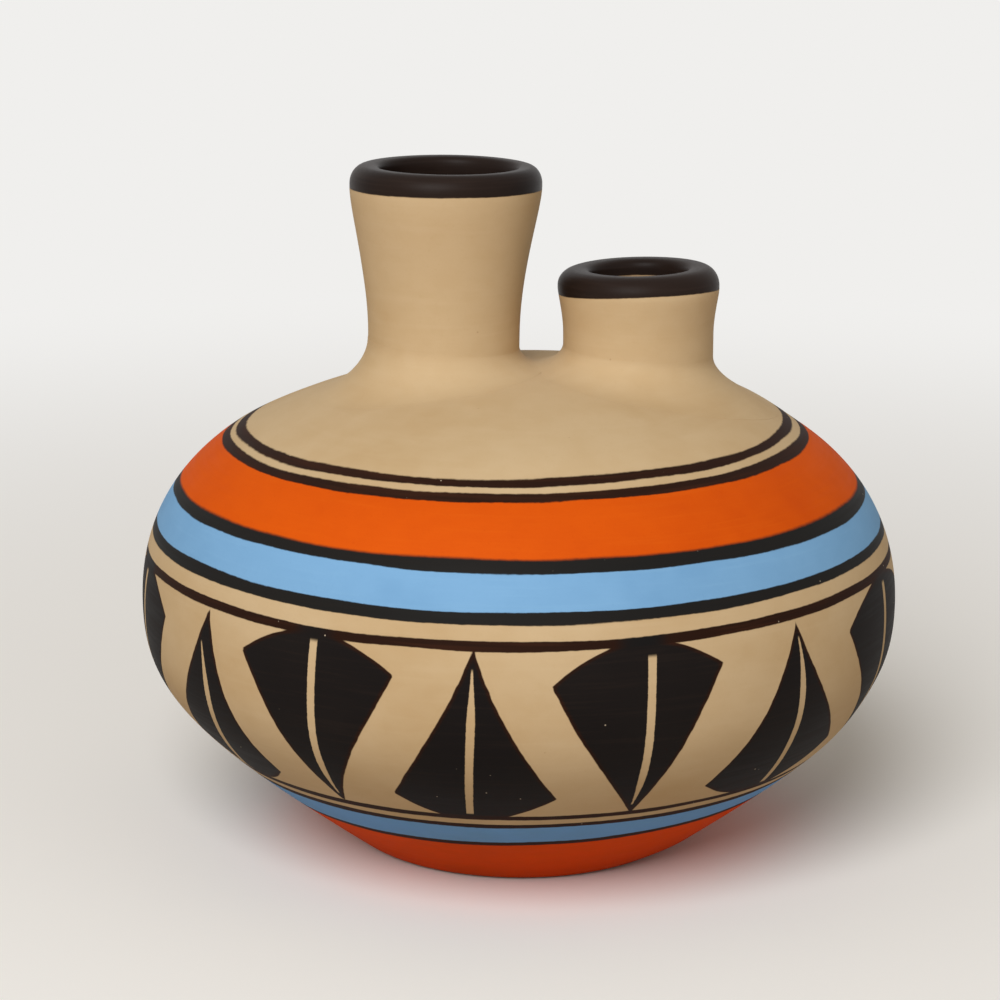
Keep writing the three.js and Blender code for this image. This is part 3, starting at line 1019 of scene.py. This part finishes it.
def make_coil(name, axis, root, coil, glaze):
    """The coil as a closed ring about its neck's axis, ending at the saddle's middle plane."""
    angle = np.linspace(0, 2 * np.pi, NECK_TURNS, endpoint=False)
    towards_saddle = np.cos(angle) * np.sign(PAIR_CENTRE - axis)
    width = round_neck(towards_saddle, *coil[:2])
    reach = root + width
    facing = towards_saddle * reach > abs(PAIR_CENTRE - axis)
    reach[facing] = abs(PAIR_CENTRE - axis) / towards_saddle[facing]
    first = np.arcsin(1 - (reach - root) / width)
    rows = []
    for share in np.linspace(0, 1, COIL_RINGS):
        radius = root + width * (1 - np.sin(first + (np.pi / 2 - first) * share))
        across = axis + radius * np.cos(angle)
        deep = radius * np.sin(angle)
        rows.append(np.column_stack([across, deep, coil_top(across, deep)]))
    inner = root - COIL_INTO
    top = rows[-1].copy()
    top[:, 0] = axis + inner * np.cos(angle)
    top[:, 1] = inner * np.sin(angle)
    under_in = top.copy()
    under_in[:, 2] = dome_height(top[:, 0], top[:, 1]) - COIL_BED
    under_out = rows[0].copy()
    under_out[:, 2] = dome_height(under_out[:, 0], under_out[:, 1]) - COIL_BED
    rows += [top, under_in, under_out]
    count = len(rows)
    points = np.stack(rows, 1).reshape(-1, 3)
    faces = []
    places = []
    for step in range(NECK_TURNS):
        here = step * count
        beside = (step + 1) % NECK_TURNS * count
        left, right = step / NECK_TURNS, (step + 1) / NECK_TURNS
        for row in range(count):
            above = (row + 1) % count
            faces.append((here + row, beside + row, beside + above, here + above))
            low, high = row / count, (row + 1) / count
            places += [(left, low), (right, low), (right, high), (left, high)]
    mesh = bpy.data.meshes.new(name + "_smoothed")
    mesh.from_pydata((points * MM).tolist(), [], faces)
    layer = mesh.uv_layers.new(name="OFBake")
    layer.data.foreach_set("uv", np.array(places).ravel())
    mesh.materials.append(glaze)
    finish_mesh(mesh)
    coil = bpy.data.objects.new(name + "_smoothed", mesh)
    bpy.context.scene.collection.objects.link(coil)
    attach(coil, "root")
    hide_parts(name)


coil_glaze, coil_spot = new_glaze("root_coil_buff")
fire(coil_glaze, tan_coat(Strokes(coil_spot)), MATT)
make_coil("tall_root_coil", TALL_STAND, TALL_ROOT, TALL_COIL, coil_glaze)
make_coil("short_root_coil", SHORT_STAND, SHORT_ROOT, SHORT_COIL, coil_glaze)


# Lips
# A last roll of clay on the rim of each neck, flush outside, rounded on top and rolled in over the
# bore. It is painted satin black, over the top and a little way down inside.
SATIN = 0.06
LIP_ROUNDING = 4.2
LIP_SQUARE = 4.0  # 2 would round the edge towards the bore as evenly as the outside
LIP_STEPS = 44
TUCK = 1.0  # the underside sets off straight down, towards a corner this far below
TUCK_STEPS = 6
# Height, reach over the bore, lean as a share of the height, and how far the opening is off its axis
TALL_LIP = (4.9, 1.7, -0.03, 0.6)
SHORT_LIP = (4.7, 2.8, 0.12, 0.0)


def make_lip(name, axis, rim, seam, shape, edge, drift):
    """A lip, its glaze and its mesh."""
    glaze, spot = new_glaze(name + "_black")
    fire(glaze, neck_coat(spot, axis, rim, edge), SATIN)
    height, overhang, lean, bore_shift = shape
    inside = rim - NECK_WALL - overhang
    turned = np.linspace(0, np.pi, LIP_STEPS)
    square = np.where(turned > np.pi / 2, 2 / LIP_SQUARE, 1.0)
    sideways = np.sign(np.cos(turned)) * np.abs(np.cos(turned)) ** square
    rounding = np.column_stack([
        (rim + inside) / 2 + (rim - inside) / 2 * sideways,
        seam + height - LIP_ROUNDING + LIP_ROUNDING * np.sin(turned) ** square,
    ])
    foot = np.array([rim, seam])
    heel = np.array([rim - NECK_WALL, seam])
    outside = np.vstack([foot, foot + (0.0, END_STEP), rounding])
    inward = bezier([rounding[-1], rounding[-1] - (0.0, TUCK), heel], TUCK_STEPS)[1:]
    lip = turn(name + "_satin", [*outside, *inward, foot], NECK_TURNS, glaze, axis)
    points = points_of(lip.data)
    inwards = np.clip((rim - np.hypot(points[:, 0] - axis, points[:, 1])) / (rim - inside), 0, 1)
    points[:, 0] += bore_shift * inwards * np.clip((points[:, 2] - seam) / LIP_ROUNDING, 0, 1)
    points[:, 2] += (points[:, 2] - seam) * lean * (points[:, 0] - axis) / rim
    move_points(lip.data, points)
    hand_built(lip, axis, NECK_STILL, NECK_FULL)
    stand(lip, seam, drift)
    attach(lip, "root")
    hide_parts(name)


make_lip("tall_lip", TALL_AXIS, TALL_RIM, TALL_SEAM, TALL_LIP, TALL_EDGE, TALL_DRIFT)
make_lip("short_lip", SHORT_AXIS, SHORT_RIM, SHORT_SEAM, SHORT_LIP, SHORT_EDGE, SHORT_DRIFT)


# Floor
# A wide pale sheet of paper under the vase. The camera sees it bright, fading to one even tone away
# from the vase, and the vase is lit back by it only softly.
FLOOR_REACH = 12.0
FLOOR_FADE = (0.05, 0.75)
floor_mesh = bpy.data.meshes.new("floor")
corners = [(-1, -1), (1, -1), (1, 1), (-1, 1)]
floor_points = [(x * FLOOR_REACH, y * FLOOR_REACH, 0.0) for x, y in corners]
floor_mesh.from_pydata(floor_points, [], [(0, 1, 2, 3)])
floor = bpy.data.objects.new("floor", floor_mesh)
bpy.context.scene.collection.objects.link(floor)
floor_paper, paper = new_glaze("pale_paper")


def seen(start):
    """1 for what the camera sees, straight, mirrored or through glass."""
    kinds = ("Is Camera Ray", "Is Glossy Ray", "Is Transmission Ray")
    rays = [start.node("ShaderNodeLightPath", {}, {}, kind) for kind in kinds]
    return start.math("MAXIMUM", start.math("MAXIMUM", rays[0], rays[1]), rays[2])


away = paper.node("ShaderNodeVectorMath", {"operation": "LENGTH"}, {0: paper}, "Value")
shown_paper = paper.node("ShaderNodeMixShader", {}, {
    0: away.rise(*FLOOR_FADE),
    1: paper.node("ShaderNodeBsdfDiffuse", {}, {"Color": srgb(247, 246, 244)}),
    2: paper.node("ShaderNodeEmission", {}, {"Color": srgb(240, 239, 237)}),
})
lit_paper = paper.node("ShaderNodeBsdfDiffuse", {}, {"Color": srgb(189, 175, 160)})
paper.node("ShaderNodeOutputMaterial", {}, {"Surface": paper.node("ShaderNodeMixShader", {}, {
    0: seen(paper), 1: lit_paper, 2: shown_paper,
})})
floor_mesh.materials.append(floor_paper)


# Light
# One large soft lamp in front, above and to the left, a weak one from the right, and an even sky
# that lights the vase dimly and shows as pale grey behind it.
LAMP_AIM = (0.0, 0.0, 0.07)
SKY_LIGHT = 0.34
SKY_SHOWN = 0.87


def soft_lamp(name, place, size, power):
    """A round lamp, this wide in metres and this strong in watts, turned to the vase."""
    lamp = bpy.data.lights.new(name, "AREA")
    lamp.shape = "DISK"
    lamp.size = size
    lamp.energy = power
    holder = bpy.data.objects.new(name, lamp)
    bpy.context.scene.collection.objects.link(holder)
    holder.location = place
    holder.rotation_mode = "QUATERNION"
    direction = [b - a for a, b in zip(place, LAMP_AIM)]
    holder.rotation_quaternion = mathutils.Vector(direction).to_track_quat("-Z", "Y")


soft_lamp("key", (-0.43, -1.54, 1.32), 1.2, 34.0)
soft_lamp("fill", (1.6, -1.2, 0.8), 1.4, 2.0)

sky = bpy.data.worlds.new("even_sky")
bpy.context.scene.world = sky
sky.use_nodes = True
sky.node_tree.nodes.clear()
air = Wire(sky.node_tree)
lit_sky = air.node("ShaderNodeBackground", {}, {"Color": srgb(255, 245, 230), "Strength": SKY_LIGHT})
shown_sky = air.node("ShaderNodeBackground", {}, {"Color": srgb(255, 255, 255), "Strength": SKY_SHOWN})
air.node("ShaderNodeOutputWorld", {}, {"Surface": air.node("ShaderNodeMixShader", {}, {
    0: seen(air), 1: lit_sky, 2: shown_sky,
})})
bpy.context.scene.view_settings.view_transform = "Standard"


# Camera
# Where the vase is looked at from: a little above the rims, square to the two necks, and far enough
# away that a long lens takes it in.
CAMERA_DIP = 13.83  # degrees below the level
CAMERA_ROLL = 0.335
camera_lens = bpy.data.cameras.new("camera")
camera_lens.sensor_width = 36.0
camera_lens.lens = 104.68
camera_lens.shift_x = -0.01907
camera = bpy.data.objects.new("camera", camera_lens)
bpy.context.scene.collection.objects.link(camera)
camera.location = (0.0, -0.675, 0.24743)
look = mathutils.Matrix.Rotation(math.radians(90 - CAMERA_DIP), 3, "X")
roll = mathutils.Matrix.Rotation(math.radians(CAMERA_ROLL), 3, "Z")
camera.rotation_mode = "QUATERNION"
camera.rotation_quaternion = (look @ roll).to_quaternion()
bpy.context.scene.camera = camera
